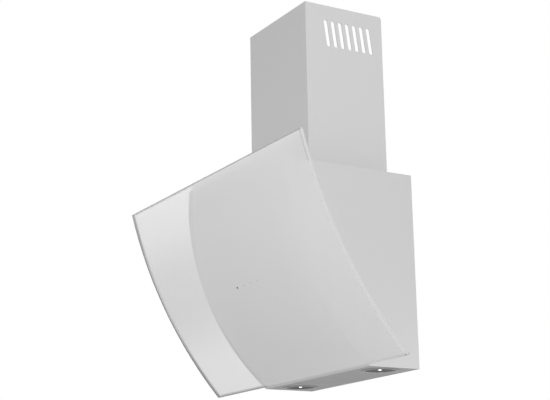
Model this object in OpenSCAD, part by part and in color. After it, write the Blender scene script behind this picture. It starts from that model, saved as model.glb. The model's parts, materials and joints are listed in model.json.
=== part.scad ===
// Curved glass range hood for a wall: metal body, chimney cover, hinged glass front, filter, blower and lamps.
// Origin on the wall, on the centre line, level with the underside. Front is -Y, up is +Z. Millimetres.

/* [Body] */
// Width of the metal body
body_w = 330; // [322:1:380]
// Height of the body, from its underside to its top
body_h = 327; // [322:1:350]
// Depth of the body at its top, from the wall
body_top_d = 252; // [245:1:264]
// Depth of the body at its underside, from the wall
body_bottom_d = 97; // [94:1:108]
// Height of the straight stretch of the front below the body top
front_flat_h = 6; // [2:1:12]
// Height of the front plate's lip above the body top
lip_h = 20; // [14:1:24]
// Thickness of the steel sheet
sheet_t = 1; // [0.8:0.1:1.4]
// Thickness of the back plate
back_t = 1.5; // [1.2:0.1:2]
// Width of the folded flanges
flange_w = 12; // [9:1:14]

/* [Chimney] */
// Width of the chimney cover
chimney_w = 193; // [186:1:230]
// Depth of the chimney cover, from the wall
chimney_d = 159; // [150:1:180]
// Height of the chimney cover above the body top
chimney_h = 310.5; // [240:0.5:500]
// Radius of the chimney cover's top back corners
chimney_corner_r = 5; // [2:1:10]
// Number of slots in each side
slot_count = 7; // [3:1:8]
// Distance between slots
slot_pitch = 14.7; // [12:0.1:16]
// Width of a slot
slot_w = 7; // [5:0.5:8]
// Length of a slot
slot_h = 48; // [30:1:60]
// Slant of the slots
slot_slant = 7.7; // [0:0.1:10]
// Height left above the slots
slot_top_gap = 27; // [20:1:40]
// Distance from the wall to the middle of the row of slots
slot_row_d = 71.4; // [68:0.1:80]

/* [Glass] */
// Width of the glass
glass_w = 600; // [500:1:900]
// Thickness of the glass
glass_t = 6; // [5:0.5:6.5]
// Distance from the body's front to the glass's top edge
glass_top_gap = 50; // [47:1:60]
// Distance from the front of the underside to the glass's bottom edge
glass_bottom_gap = 25; // [23:1:32]
// Height of the glass's top edge above the body top
glass_top_rise = 2; // [0:1:8]
// Drop of the glass's bottom edge below the underside
glass_bottom_drop = 3; // [0:1:6]
// Bow of the glass between its top and bottom edges
glass_bow = 22.7; // [20:0.1:25]

/* [Controls] */
// Height of the touch marks above the underside
touch_z = 152; // [140:1:165]
// Sideways place of the first touch mark
touch_first_x = -27; // [-40:1:0]
// Distance between touch marks
touch_pitch = 22.7; // [16:0.1:26]
// Number of touch marks
touch_count = 4; // [2:1:4]
// Diameter of the first touch mark
touch_dot_d = 4; // [3:0.5:6]

/* [Filter] */
// Width of the front left beside the filter cassette
filter_side_gap = 47; // [44:1:60]
// Height of the front left above and below the filter cassette
filter_end_gap = 45.5; // [43.5:0.5:60]
// Thickness of the filter cassette
filter_t = 9; // [8:0.5:10]
// Width of the filter frame's rails
filter_rail = 12; // [11:1:16]
// Columns of openings in the filter mesh
mesh_columns = 12; // [6:1:14]
// Rows of openings in the filter mesh
mesh_rows = 12; // [6:1:14]
// Travel of the filter latch
latch_travel = 5; // [4:0.5:6]

/* [Blower] */
// Radius of the impeller
impeller_r = 72; // [66:1:78]
// Depth of the impeller
impeller_d = 84; // [70:1:86]
// Number of impeller blades
blade_count = 32; // [16:1:40]
// Depth of the scroll, front to back
scroll_d = 118; // [112:1:119]
// Height of the impeller's axis above the underside
blower_z = 172; // [168:1:178]
// Radius of the motor
motor_r = 34; // [28:1:36]
// Length of the motor
motor_l = 58; // [45:1:64]
// Outside diameter of the duct collar
collar_d = 119; // [112:0.5:120]
// Height of the duct collar above its flange
collar_h = 48; // [40:1:60]

/* [Lamps] */
// Distance of each lamp from the body's side
lamp_in = 41; // [36:1:60]
// Distance of the lamps from the wall
lamp_y = 50; // [46:1:55]
// Diameter of a lamp's bezel
lamp_d = 62; // [56:1:66]
// Diameter of a lamp's lens
lens_d = 50; // [44:1:52]

/* [Mounting] */
// Distance of a wall screw from the body's side
wall_hole_in = 25; // [22:1:30]
// Distance of a wall screw from the back plate's top or bottom
wall_hole_end = 33; // [31:0.5:38]
// Diameter of a wall screw hole
wall_hole_d = 8; // [6:0.5:10]
// Distance of the chimney bracket's wall screws from the chimney cover's side
bracket_hole_in = 31.5; // [26:0.5:50]
// Bore of the cable gland
gland_bore_d = 7.6; // [6:0.2:9]

/* [Hidden] */
$fn = 96;
// Gap between folded sheets and seated pieces
seam = 0.2;
// Gap between pieces on different bodies, and under pads that rest on the glass
pad_gap = 0.3;
// Overrun of every cut past the solid
over = 2;

// The front plate's arc passes through the front of the underside and stands upright at the bend
front_z = body_h - front_flat_h;
front_reach = body_top_d - body_bottom_d;
front_r = (front_reach * front_reach + front_z * front_z) / (2 * front_reach);
front_cy = front_r - body_top_d;
inner_w = body_w - 2 * sheet_t - 2 * seam;
back_h = body_h - sheet_t;
wall_hole_w = body_w - 2 * wall_hole_in;
wall_hole_h = back_h - 2 * wall_hole_end;

// The glass's arc passes through its top and bottom edges
glass_top = [-(body_top_d + glass_top_gap), body_h + glass_top_rise];
glass_bottom = [-(body_bottom_d + glass_bottom_gap), -glass_bottom_drop];
glass_half = norm(glass_top - glass_bottom) / 2;
glass_r = (glass_half * glass_half + glass_bow * glass_bow) / (2 * glass_bow);
glass_up = (glass_top - glass_bottom) / (2 * glass_half);
glass_c = (glass_top + glass_bottom) / 2 + [glass_up[1], -glass_up[0]] * (glass_r - glass_bow);
glass_back_r = glass_r - glass_t;
glass_top_a = asin((glass_c[1] - glass_top[1]) / glass_r);
glass_bottom_a = asin((glass_c[1] - glass_bottom[1]) / glass_r);

// Hinge of the glass
hinge_drop = 19;
hinge_in = 105;
hinge_behind = 9.5;
hinge_z = body_h - hinge_drop;
hinge_x = body_w / 2 - hinge_in;
hinge_y = back_of_glass(hinge_z) + hinge_behind;
hinge_barrel_r = 6;
hinge_barrel_l = 30;
hinge_pin_r = 3;
hinge_run = 0.08;
hinge_space = 1.4;
hinge_ear_t = 3;
hinge_leaf_t = 2;
hinge_leaf_w = hinge_barrel_l + 2 * (hinge_space + hinge_ear_t);
hinge_leaf_low = 18;
hinge_leaf_top = body_h + lip_h - 4 * sheet_t;
hinge_pin_head_r = 4.5;
hinge_pin_head_t = 1.6;
washer_t = 0.8;
pad_t = 2.5;
pad_below = 24;
pad_above = 13;
web_t = 5;

// Touch module
touch_case_w = 116;
touch_case_h = 28;
touch_case_d = 7;
touch_wall = 1.2;
touch_board_t = 1.6;
touch_board_gap = 1.5;
touch_x = touch_first_x + touch_pitch * (touch_count - 1) / 2;
touch_mark_t = 0.15;
touch_bar_w = 5;
touch_bar_h = 1.2;
touch_half_a = 2;

// Filter and its seat
filter_w = body_w - 2 * filter_side_gap;
filter_h = body_h - 2 * filter_end_gap;
filter_place_share = 0.56;
filter_tilt = asin(front_z / front_r) * filter_place_share;
filter_face_gap = 6.65;
filter_recess = front_r - sqrt(pow(front_r, 2) - pow(filter_h / 2, 2)) + filter_face_gap;
filter_play = 0.5;
filter_front = front_r - filter_recess;
seat_t = 1;
seat_flange = 9;
mesh_lip = 3;
mesh_skin = 1;
mesh_bar = 3.2;
tab_w = 24;
tab_l = 3.5;
tab_t = 2;
latch_w = 30;
latch_l = 9;
latch_t = 2;
latch_grip = 4;
latch_guide = 2.5;
latch_cover = 1.2;

// Magnets, strike plates and bumpers stand beside the filter
filter_hole_w = filter_w + 2 * (filter_play + seat_t + seam);
magnet_z = 34;
magnet_r = 8;
magnet_l = 14;
magnet_edge = 3.3;
side_strip_x = filter_hole_w / 2 + magnet_r + magnet_edge;
strike_r = 9;
strike_t = 1.5;
bumper_r = 5.5;
bumper_z = 75;

// Blower
scroll_wall = 2;
scroll_back_gap = 6;
chute_half = 56;
impeller_gap = 5;
scroll_growth = 20;
scroll_start = 96;
scroll_steps = 40;
scroll_r0 = impeller_r + impeller_gap;
scroll_r1 = scroll_r0 + scroll_growth;
blower_x = chute_half - scroll_wall - scroll_r1;
chute_top = body_h - sheet_t - pad_gap;
blade_l = 14;
blade_t = 1.2;
blade_lean = 32;
impeller_plate = 2;
hub_r = 11;
hub_l = 16;
shaft_r = 4;
shaft_run = 0.04;
inlet_r = impeller_r - blade_l;
inlet_lip = 3;
boss_r = 5;
boss_angles = [150, 210, 262, 318];
foot_r = 7;
foot_angles = [120, 225, 330];
foot_share = 0.7;
screw_r = 2;
screw_hole_r = 2.2;
screw_head_r = 3.8;
screw_head_h = 2.2;
screw_l = 14;
bracket_t = 2;
bracket_arm_w = 14;
bracket_disc_r = 26;
grommet_r = 6.5;
grommet_t = 2.4;
arm_gap = 0.5;
arm_r = inlet_r + inlet_lip + grommet_r + arm_gap;
arm_angles = [90, 210, 330];
capacitor_r = 15;
capacitor_l = 46;
capacitor_drop = 59;
capacitor_z = body_h - capacitor_drop;
capacitor_y = 24;
clip_t = 1.2;
clip_l = 16;

// Outlet collar and flaps
collar_y = scroll_back_gap + scroll_d / 2;
collar_r = collar_d / 2;
collar_wall = 2;
collar_flange_t = 2.5;
collar_flange = 3.5;
collar_screw_angles = [45, 135, 225, 315];
top_hole_r = 53;
flap_axis_h = 14;
flap_pin_r = 2;
flap_run = 0.08;
flap_knuckle_r = 3.6;
flap_t = 1.5;
flap_gap = 1;
flap_clear = 0.5;
flap_root = 4.2;
flap_stop = 3;
flap_stop_h = 3;
knuckle_l = 12;
front_knuckle_shares = [0.5, 2.5];
rear_knuckle_shares = [1.5, 3.5];

// Chimney fixings
guide_h = 15;
guide_t = 1.5;
guide_foot = 9;
bracket_slot_gap = 8;
bracket_below = slot_top_gap + slot_h + bracket_slot_gap;
bracket_hole_w = chimney_w - 2 * bracket_hole_in;
chimney_bracket_h = 22;
chimney_ear_l = 30;
chimney_bracket_hole_r = 3.5;

// Lamps
lamp_x = body_w / 2 - lamp_in;
lamp_rim_t = 1;
lamp_tube_h = 9;
lamp_tube_t = 1.2;
lamp_hole_play = 1;
lamp_hole_r = lens_d / 2 + lamp_tube_t + lamp_hole_play;
lens_t = 2;
emitter_r = 5;
emitter_h = 1.5;
sink_h = 14;
sink_fin = 1.4;
sink_fins = 7;
lamp_clip_w = 9;
lamp_clip_t = 0.8;
lamp_clip_l = 11;

// Electrics stand between the scroll and the body's side
box_w = 68;
box_d = 40;
box_wall = 2;
box_x = (chute_half + inner_w / 2) / 2;
box_low_z = 78;
box_top_gap = 17;
box_h = capacitor_z - capacitor_l / 2 - box_top_gap - box_low_z;
lid_t = 2;
board_t = 1.6;
board_post = 6;
board_post_r = 4;
terminal_w = 34;
terminal_h = 14;
terminal_d = 12;
gland_in = 22.5;
gland_x = chimney_w / 2 - gland_in;
gland_y = 28;
gland_r = 6.2;
gland_flange_r = 9;
gland_up = 12;
gland_down = 9;
gland_flange_t = 4;

// Places on the two curved surfaces, as the depth at a height
function back_of_glass(z) = glass_c[0] - sqrt(pow(glass_back_r, 2) - pow(glass_c[1] - z, 2));
function glass_angle(z) = asin((glass_c[1] - z) / glass_back_r);
function scroll_r(a, more) = scroll_r0 + more + scroll_growth * (a - scroll_start) / (360 - scroll_start);

// Extrudes an outline drawn as [depth, height] across the width
module across(w) {
    rotate([90, 0, 90]) linear_extrude(w, center = true) children();
}

// Turns +Z to the front
module to_front() {
    rotate([90, 0, 0]) children();
}

// Mirrored pair
module both_sides() {
    children();
    mirror([1, 0, 0]) children();
}

// Body outline between the wall and a skin that lies "inset" inside the front
module side_outline(inset) {
    intersection() {
        translate([front_cy, front_z]) circle(front_r - inset, $fn = 240);
        translate([-body_top_d, 0]) square([body_top_d, front_z]);
    }
    translate([-body_top_d + inset, front_z]) square([body_top_d - inset, front_flat_h]);
}

module front_ring(outer, inner) {
    intersection() {
        difference() {
            translate([front_cy, front_z]) circle(front_r - outer, $fn = 240);
            translate([front_cy, front_z]) circle(front_r - inner, $fn = 240);
        }
        translate([-body_top_d, 0]) square([body_top_d, front_z]);
    }
}

module glass_ring(outer, inner, low, high) {
    intersection() {
        difference() {
            translate(glass_c) circle(outer, $fn = 240);
            translate(glass_c) circle(inner, $fn = 240);
        }
        translate(glass_c) polygon([
            [0, 0],
            for (a = [low, high]) [-cos(a), -sin(a)] * (outer * 2)
        ]);
    }
}

// Local frame on the back of the glass: origin on its surface, -Y out through the glass
module on_glass(x, a) {
    translate([x, glass_c[0], glass_c[1]]) rotate([a, 0, 0]) translate([0, -glass_back_r, 0]) children();
}

// Local frame of the filter: origin at the front arc's centre, -Y out of the filter's face
module filter_space() {
    translate([0, front_cy, front_z]) rotate([filter_tilt, 0, 0]) children();
}

module centred(size) {
    translate([-size[0] / 2, -size[1] / 2, -size[2] / 2]) cube(size);
}

// Body

module back_plate() color("silver") {
    difference() {
        translate([-inner_w / 2, -back_t, 0]) cube([inner_w, back_t, back_h - seam]);
        for (side = [-1, 1], row = [-1, 1])
            translate([side * wall_hole_w / 2, over, back_h / 2 + row * wall_hole_h / 2])
                to_front() cylinder(r = wall_hole_d / 2, h = back_t + 2 * over);
        for (a = foot_angles) blower_place(foot_share * scroll_r0, a, -over)
            cylinder(r = screw_hole_r, h = back_t + 2 * over);
    }
}

module side_sheet() {
    translate([body_w / 2 - sheet_t / 2, 0, 0]) across(sheet_t) side_outline(0);
    translate([body_w / 2 - sheet_t - flange_w, -back_t - seam - sheet_t, sheet_t + seam])
        cube([flange_w, sheet_t, wall_hole_end / 2]);
}

module body_shell() color("gainsboro") {
    difference() {
        union() {
            both_sides() side_sheet();
            translate([-body_w / 2, -(body_top_d - sheet_t - seam), body_h - sheet_t])
                cube([body_w, body_top_d - sheet_t - seam, sheet_t]);
        }
        translate([0, -collar_y, body_h - over]) cylinder(r = top_hole_r, h = 2 * over);
        translate([gland_x, -gland_y, body_h - over]) cylinder(r = gland_r + seam, h = 2 * over);
        collar_screw_places(body_h - over) cylinder(r = screw_hole_r, h = 2 * over);
    }
}

module filter_hole() {
    h = filter_h + 2 * (filter_play + seat_t + seam);
    filter_space() translate([-filter_hole_w / 2, -front_r - over, -h / 2])
        cube([filter_hole_w, filter_recess + filter_t + over, h]);
}

module front_plate() color("gainsboro") {
    difference() {
        union() {
            across(inner_w) {
                front_ring(0, sheet_t);
                translate([-body_top_d, front_z]) square([sheet_t, front_flat_h + lip_h]);
            }
            both_sides() translate([inner_w / 2 - sheet_t / 2, 0, 0])
                across(sheet_t) difference() {
                    front_ring(0, flange_w);
                    square([body_top_d, 2 * (sheet_t + seam + flange_w)], center = true);
                }
        }
        filter_hole();
        hinge_screw_places() cylinder(r = screw_hole_r, h = 3 * over, center = true);
        both_sides() magnet_place() cylinder(r = magnet_r + seam, h = magnet_l);
    }
}

module filter_seat() color("silver") {
    w = filter_w + 2 * (filter_play + seat_t);
    h = filter_h + 2 * (filter_play + seat_t);
    back = filter_front - filter_t - pad_gap - seat_t;
    difference() {
        intersection() {
            filter_space() translate([-w / 2, -front_r, -h / 2]) cube([w, front_r - back, h]);
            across(body_w) translate([front_cy, front_z]) circle(front_r - sheet_t - seam, $fn = 240);
        }
        filter_space() {
            translate([-w / 2 + seat_t, -front_r - over, -h / 2 + seat_t])
                cube([w - 2 * seat_t, front_r - back - seat_t + over, h - 2 * seat_t]);
            translate([-w / 2 + seat_flange, -front_r - over, -h / 2 + seat_flange])
                cube([w - 2 * seat_flange, front_r + over, h - 2 * seat_flange]);
            for (side = [-1, 1]) translate([side * filter_w / 4, -tab_depth(), h / 2])
                centred([tab_w + 2 * pad_gap, tab_t + 2 * pad_gap, 2 * over]);
            translate([0, -filter_front - latch_t / 2, -h / 2])
                centred([latch_w + 2 * pad_gap, latch_t + 2 * pad_gap, 2 * over]);
        }
    }
}

module bottom_panel() color("gainsboro") {
    difference() {
        union() {
            intersection() {
                translate([-inner_w / 2, -body_top_d, 0]) cube([inner_w, body_top_d - back_t - seam, sheet_t]);
                across(body_w) translate([front_cy, front_z]) circle(front_r - sheet_t - seam, $fn = 240);
            }
            both_sides() translate([inner_w / 2 - sheet_t, -body_bottom_d + flange_w, 0])
                cube([sheet_t, body_bottom_d - flange_w - back_t - 2 * (sheet_t + seam), flange_w]);
        }
        for (side = [-1, 1]) translate([side * lamp_x, -lamp_y, -over]) cylinder(r = lamp_hole_r, h = 3 * over);
    }
}

// Chimney

module slot_outline() {
    length = slot_h - slot_w;
    rotate(slot_slant) {
        square([slot_w, length], center = true);
        for (end = [-1, 1]) translate([0, end * length / 2]) circle(slot_w / 2, $fn = 48);
    }
}

module chimney_cover() color("lightgray") {
    top = body_h + chimney_h;
    slots_z = top - slot_top_gap - slot_h / 2;
    difference() {
        translate([-chimney_w / 2, -chimney_d, body_h]) cube([chimney_w, chimney_d, chimney_h]);
        translate([-chimney_w / 2 + sheet_t, -chimney_d + sheet_t, body_h - over])
            cube([chimney_w - 2 * sheet_t, chimney_d + over, chimney_h + 2 * over]);
        across(chimney_w + 2 * over) {
            for (i = [0 : slot_count - 1])
                translate([-slot_row_d + (i - (slot_count - 1) / 2) * slot_pitch, slots_z]) slot_outline();
            difference() {
                translate([-chimney_corner_r, top - chimney_corner_r]) square(chimney_corner_r + over);
                translate([-chimney_corner_r, top - chimney_corner_r]) circle(chimney_corner_r);
            }
        }
    }
}

module chimney_guide() color("silver") {
    w = chimney_w - 2 * sheet_t - 2 * pad_gap;
    d = chimney_d - sheet_t - pad_gap;
    difference() {
        translate([-w / 2, -d, body_h]) cube([w, d - back_t, guide_h]);
        translate([-w / 2 + guide_t, -d + guide_t, body_h + guide_t]) cube([w - 2 * guide_t, d, guide_h]);
        translate([-w / 2 + guide_foot, -d + guide_foot, body_h - over])
            cube([w - 2 * guide_foot, d, guide_h]);
    }
}

module chimney_bracket() color("silver") {
    w = chimney_w - 2 * sheet_t - 2 * pad_gap;
    z0 = body_h + chimney_h - bracket_below - chimney_bracket_h;
    difference() {
        translate([-w / 2, -chimney_ear_l, z0]) cube([w, chimney_ear_l, chimney_bracket_h]);
        translate([-w / 2 + back_t, -chimney_ear_l - over, z0 - over])
            cube([w - 2 * back_t, chimney_ear_l + over - back_t, chimney_bracket_h + 2 * over]);
        for (side = [-1, 1]) translate([side * bracket_hole_w / 2, over, z0 + chimney_bracket_h / 2])
            to_front() cylinder(r = chimney_bracket_hole_r, h = back_t + 2 * over);
    }
}

// Glass and what it carries

module glass_panel() color("whitesmoke") {
    across(glass_w) glass_ring(glass_r, glass_back_r, glass_top_a, glass_bottom_a);
}

module touch_marks() color("dimgray") {
    a = glass_angle(touch_z);
    intersection() {
        across(glass_w) glass_ring(glass_r + touch_mark_t, glass_r, a - touch_half_a, a + touch_half_a);
        for (i = [0 : touch_count - 1]) on_glass(touch_first_x + i * touch_pitch, a)
            if (i == 0) to_front() cylinder(r = touch_dot_d / 2, h = glass_t + over);
            else translate([-touch_bar_w / 2, -glass_t - over, -touch_bar_h / 2])
                cube([touch_bar_w, glass_t + over, touch_bar_h]);
    }
}

module touch_case() color("dimgray") {
    w = touch_case_w - 2 * touch_wall;
    h = touch_case_h - 2 * touch_wall;
    on_glass(touch_x, glass_angle(touch_z)) difference() {
        translate([-touch_case_w / 2, pad_gap, -touch_case_h / 2])
            cube([touch_case_w, touch_case_d, touch_case_h]);
        translate([-w / 2, pad_gap - over, -h / 2]) cube([w, touch_case_d + over - touch_wall, h]);
    }
}

module touch_board() color("seagreen") {
    gap = touch_wall + seam;
    on_glass(touch_x, glass_angle(touch_z))
        translate([-touch_case_w / 2 + gap, pad_gap + touch_board_gap, -touch_case_h / 2 + gap])
            cube([touch_case_w - 2 * gap, touch_board_t, touch_case_h - 2 * gap]);
}

module glass_bracket(side) color("silver") {
    low = glass_angle(hinge_z - pad_below);
    high = glass_angle(hinge_z + pad_above);
    outer = glass_back_r - seam;
    difference() {
        union() {
            translate([side * hinge_x, 0, 0]) across(hinge_leaf_w) glass_ring(outer, outer - pad_t, high, low);
            translate([side * hinge_x, 0, 0]) across(hinge_barrel_l) {
                translate([hinge_y, hinge_z]) circle(hinge_barrel_r);
                intersection() {
                    translate([hinge_y - hinge_behind - hinge_barrel_r, hinge_z - hinge_barrel_r])
                        square([hinge_behind + hinge_barrel_r, web_t + hinge_barrel_r]);
                    translate(glass_c) circle(outer, $fn = 240);
                }
            }
        }
        hinge_bore(side, hinge_pin_r + hinge_run);
    }
}

module hinge_bore(side, r) {
    translate([side * hinge_x, hinge_y, hinge_z]) rotate([0, 90, 0])
        cylinder(r = r, h = hinge_leaf_w + 4 * over, center = true);
}

module hinge_leaf(side) color("silver") {
    ear_x = hinge_barrel_l / 2 + hinge_space + hinge_ear_t / 2;
    plate_front = -body_top_d - seam - hinge_leaf_t;
    difference() {
        union() {
            translate([side * hinge_x - hinge_leaf_w / 2, plate_front, hinge_z - hinge_leaf_low])
                cube([hinge_leaf_w, hinge_leaf_t, hinge_leaf_top + hinge_leaf_low - hinge_z]);
            for (end = [-1, 1]) translate([side * hinge_x + end * ear_x, 0, 0]) across(hinge_ear_t) {
                translate([hinge_y, hinge_z]) circle(hinge_barrel_r);
                translate([hinge_y, hinge_z - hinge_barrel_r])
                    square([plate_front + hinge_leaf_t - hinge_y, 2 * hinge_barrel_r]);
            }
        }
        hinge_bore(side, hinge_pin_r + hinge_run);
        hinge_screw_places() cylinder(r = screw_hole_r, h = 6 * over, center = true);
    }
}

module hinge_pin(side) color("gray") {
    length = hinge_leaf_w + 2 * seam;
    translate([side * hinge_x, hinge_y, hinge_z]) rotate([0, 90, 0]) {
        cylinder(r = hinge_pin_r, h = length, center = true);
        for (end = [-1, 1]) translate([0, 0, end * (length + hinge_pin_head_t) / 2])
            cylinder(r = hinge_pin_head_r, h = hinge_pin_head_t, center = true);
    }
}

module hinge_washers() color("dimgray") {
    for (side = [-1, 1], end = [-1, 1])
        translate([side * hinge_x + end * (hinge_barrel_l + hinge_space) / 2, hinge_y, hinge_z])
            rotate([0, 90, 0]) difference() {
                cylinder(r = hinge_barrel_r, h = washer_t, center = true);
                cylinder(r = hinge_pin_r + hinge_run, h = 2 * over, center = true);
            }
}

module hinge_screw_places() {
    for (side = [-1, 1], end = [-1, 1])
        translate([side * hinge_x + end * hinge_leaf_w / 3, -body_top_d, body_h + lip_h / 2])
            to_front() children();
}

module hinge_screws() color("gray") {
    hinge_screw_places() {
        translate([0, 0, seam + hinge_leaf_t + seam]) cylinder(r = screw_head_r, h = screw_head_h);
        translate([0, 0, -sheet_t - screw_head_h])
            cylinder(r = screw_r, h = sheet_t + screw_head_h + hinge_leaf_t + 3 * seam);
        translate([0, 0, -sheet_t - seam - screw_head_h])
            cylinder(r = screw_head_r, h = screw_head_h, $fn = 6);
    }
}

module strike_plate(side) color("silver") {
    on_glass(side * side_strip_x, glass_angle(magnet_z)) translate([0, seam, 0])
        rotate([-90, 0, 0]) cylinder(r = strike_r, h = strike_t);
}

module bumper(side) {
    difference() {
        on_glass(side * side_strip_x, glass_angle(bumper_z)) translate([0, pad_gap, 0])
            rotate([-90, 0, 0]) cylinder(r = bumper_r, h = body_bottom_d / 2);
        across(body_w) translate([front_cy, front_z]) circle(front_r + seam, $fn = 240);
    }
}

// Right-hand magnet, pressed through the front plate; +Z points into the body
module magnet_place() {
    on_glass(side_strip_x, glass_angle(magnet_z)) translate([0, seam + strike_t + pad_gap, 0])
        rotate([-90, 0, 0]) children();
}

module magnet_catch() color("dimgray") {
    magnet_place() cylinder(r = magnet_r, h = magnet_l);
}

module glass_bumpers() color("darkgray") {
    for (side = [-1, 1]) bumper(side);
}

// Filter, drawn in its own tilted frame

function tab_depth() = filter_front - filter_t / 2;

module filter_frame() color("lightgray") {
    window_w = filter_w - 2 * filter_rail;
    window_h = filter_h - 2 * filter_rail;
    guide_w = latch_w + 2 * (pad_gap + latch_guide);
    guide_t = latch_t + pad_gap + latch_cover;
    filter_space() {
        difference() {
            translate([0, -tab_depth(), 0]) centred([filter_w, filter_t, filter_h]);
            translate([0, -tab_depth(), 0]) centred([window_w, filter_t + over, window_h]);
            translate([0, -tab_depth(), 0])
                centred([window_w + 2 * mesh_lip, filter_t - 2 * mesh_skin, window_h + 2 * mesh_lip]);
        }
        for (side = [-1, 1]) translate([side * filter_w / 4, -tab_depth(), filter_h / 2 + tab_l / 2])
            centred([tab_w, tab_t, tab_l]);
        translate([0, -filter_front, -filter_h / 2]) difference() {
            translate([-guide_w / 2, -guide_t, 0]) cube([guide_w, guide_t, filter_rail]);
            translate([-latch_w / 2 - pad_gap, -latch_t - pad_gap, -over])
                cube([latch_w + 2 * pad_gap, latch_t + pad_gap, filter_rail + 2 * over]);
            translate([-latch_w / 2 + latch_guide, -guide_t - over, -over])
                cube([latch_w - 2 * latch_guide, guide_t + over, filter_rail + 2 * over]);
        }
    }
}

module filter_mesh() color("silver") {
    w = filter_w - 2 * filter_rail + 2 * mesh_lip - 2 * seam;
    h = filter_h - 2 * filter_rail + 2 * mesh_lip - 2 * seam;
    t = filter_t - 2 * mesh_skin - 2 * seam;
    step_x = (w - 2 * mesh_lip) / mesh_columns;
    step_z = (h - 2 * mesh_lip) / mesh_rows;
    filter_space() translate([0, -tab_depth() + t / 2, 0]) to_front() linear_extrude(t) difference() {
        square([w, h], center = true);
        for (i = [0 : mesh_columns - 1], k = [0 : mesh_rows - 1])
            translate([(i + (1 - mesh_columns) / 2) * step_x, (k + (1 - mesh_rows) / 2) * step_z])
                polygon([
                    [-(step_x - mesh_bar) / 2, 0], [0, -(step_z - mesh_bar) / 2],
                    [(step_x - mesh_bar) / 2, 0], [0, (step_z - mesh_bar) / 2]
                ]);
    }
}

module filter_latch() color("dimgray") {
    y0 = -filter_front - latch_t - seam / 2;
    grip_w = latch_w - 2 * (latch_guide + pad_gap);
    filter_space() translate([0, y0, seam - filter_h / 2]) {
        translate([-latch_w / 2, 0, -latch_l / 2]) cube([latch_w, latch_t - seam / 2, latch_l]);
        translate([-grip_w / 2, -latch_grip, 0]) cube([grip_w, latch_grip + latch_t / 2, latch_l / 4]);
    }
}

// Blower, drawn facing the front about the impeller's axis

module blower_place(r, a, depth) {
    translate([blower_x + r * cos(a), -depth, blower_z + r * sin(a)]) to_front() children();
}

module scroll_outline(more) {
    step = (360 - scroll_start) / scroll_steps;
    polygon([
        for (i = [0 : scroll_steps])
            let (a = scroll_start + i * step) scroll_r(a, more) * [cos(a), sin(a)],
        [scroll_r(360, more), chute_top - blower_z],
        [scroll_r(360, more) - 2 * chute_half + 2 * (scroll_wall - more), chute_top - blower_z]
    ]);
}

module boss_places(depth) {
    for (a = boss_angles) blower_place(scroll_r(a, scroll_wall + boss_r / 2), a, depth) children();
}

module scroll_tub() color("dimgray") {
    deep = scroll_d - scroll_wall - seam;
    difference() {
        union() {
            blower_place(0, 0, scroll_back_gap) linear_extrude(deep) scroll_outline(scroll_wall);
            boss_places(scroll_back_gap) cylinder(r = boss_r, h = deep);
            for (a = foot_angles) blower_place(foot_share * scroll_r0, a, back_t + pad_gap)
                cylinder(r = foot_r, h = scroll_back_gap - back_t - pad_gap + scroll_wall);
        }
        blower_place(0, 0, scroll_back_gap + scroll_wall) linear_extrude(scroll_d) scroll_outline(0);
        translate([scroll_wall - chute_half, -scroll_back_gap - scroll_d, chute_top - over])
            cube([2 * (chute_half - scroll_wall), scroll_d - scroll_wall, 2 * over]);
        boss_places(scroll_back_gap + deep - screw_l) cylinder(r = screw_hole_r - seam, h = screw_l + over);
        for (a = foot_angles) blower_place(foot_share * scroll_r0, a, 0)
            cylinder(r = screw_hole_r, h = scroll_d / 2);
    }
}

module arm_places(r, depth) {
    for (a = arm_angles) blower_place(r, a, depth) children();
}

module scroll_cover() color("darkslategray") {
    front = scroll_back_gap + scroll_d - scroll_wall;
    difference() {
        union() {
            blower_place(0, 0, front) linear_extrude(scroll_wall) scroll_outline(scroll_wall);
            boss_places(front) cylinder(r = boss_r, h = scroll_wall);
            blower_place(0, 0, front - inlet_lip) cylinder(r = inlet_r, h = inlet_lip + scroll_wall);
        }
        blower_place(0, 0, front - inlet_lip - over)
            cylinder(r = inlet_r - scroll_wall, h = inlet_lip + scroll_wall + 2 * over);
        boss_places(front - over) cylinder(r = screw_hole_r, h = scroll_wall + 2 * over);
        arm_places(arm_r, front - over) cylinder(r = screw_hole_r, h = scroll_wall + 2 * over);
    }
}

module impeller() color("gray") {
    back = scroll_back_gap + scroll_wall + impeller_gap;
    difference() {
        union() {
            blower_place(0, 0, back) cylinder(r = impeller_r, h = impeller_plate);
            blower_place(0, 0, back) cylinder(r = hub_r, h = hub_l);
            blower_place(0, 0, back + impeller_d - impeller_plate) difference() {
                cylinder(r = impeller_r, h = impeller_plate);
                translate([0, 0, -over])
                    cylinder(r = impeller_r - blade_l * cos(blade_lean), h = impeller_plate + 2 * over);
            }
            blower_place(0, 0, back) for (i = [0 : blade_count - 1])
                rotate(i * 360 / blade_count) translate([impeller_r - blade_t, 0, impeller_plate / 2])
                    rotate(180 - blade_lean) translate([0, -blade_t / 2, 0])
                        cube([blade_l - blade_t, blade_t, impeller_d - impeller_plate]);
        }
        blower_place(0, 0, back - over) cylinder(r = shaft_r, h = hub_l + 2 * over);
    }
}

module motor_shaft() color("silver") {
    back = scroll_back_gap + scroll_wall + impeller_gap / 2;
    front = scroll_back_gap + scroll_d + bracket_t;
    blower_place(0, 0, back) cylinder(r = shaft_r, h = front - back);
}

module motor_can() color("silver") {
    front = scroll_back_gap + scroll_d + grommet_t + seam - pad_gap;
    difference() {
        union() {
            blower_place(0, 0, front - motor_l) cylinder(r = motor_r, h = motor_l);
            blower_place(0, 0, front - motor_l - grommet_t) cylinder(r = motor_r / 3, h = motor_l);
        }
        blower_place(0, 0, front - motor_l - grommet_t - over)
            cylinder(r = shaft_r + shaft_run, h = motor_l + grommet_t + 2 * over);
    }
}

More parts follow.
